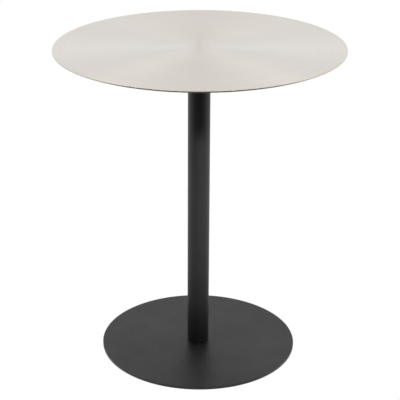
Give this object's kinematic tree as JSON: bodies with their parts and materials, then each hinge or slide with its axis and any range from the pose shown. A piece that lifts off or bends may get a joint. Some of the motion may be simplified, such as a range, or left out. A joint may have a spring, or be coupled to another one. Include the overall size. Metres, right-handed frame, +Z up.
{
  "type": "bistro table",
  "caption": "Round bistro table with a thin brushed steel top, a slim black tubular column and a flat round black steel base.",
  "frame": {"origin": "on the floor, at the centre of the base, on the column's axis", "axes": "+Z up along the column's axis; +X and +Y are free, because the table is round: +X runs through the first of the six glides"},
  "size_m": [0.6499, 0.65, 0.74],
  "materials": {
    "brushed_top": "satin",
    "black_powder_coat": "satin",
    "coated_weld": "satin",
    "plug_steel": "matte",
    "fastener_steel": "satin",
    "black_oxide_screw": "satin",
    "nut_nylon": "satin",
    "glide_plastic": "satin",
    "glide_foam": "matte"
  },
  "bodies": {
    "root": {"table_top": "brushed_top", "top_weld_studs": "fastener_steel", "support_plate": "black_powder_coat", "stud_washers": "fastener_steel", "stud_lock_nuts": "fastener_steel", "lock_nut_inserts": "nut_nylon", "column_tube": "black_powder_coat", "column_top_weld": "coated_weld", "foot_plug": "plug_steel", "foot_plug_weld": "plug_steel", "base_disc": "black_powder_coat", "base_screws": "black_oxide_screw", "glide_sole_1": "glide_plastic", "glide_sole_2": "glide_plastic", "glide_sole_3": "glide_plastic", "glide_sole_4": "glide_plastic", "glide_sole_5": "glide_plastic", "glide_sole_6": "glide_plastic", "glide_backing_1": "glide_foam", "glide_backing_2": "glide_foam", "glide_backing_3": "glide_foam", "glide_backing_4": "glide_foam", "glide_backing_5": "glide_foam", "glide_backing_6": "glide_foam"}
  },
  "joints": []
}
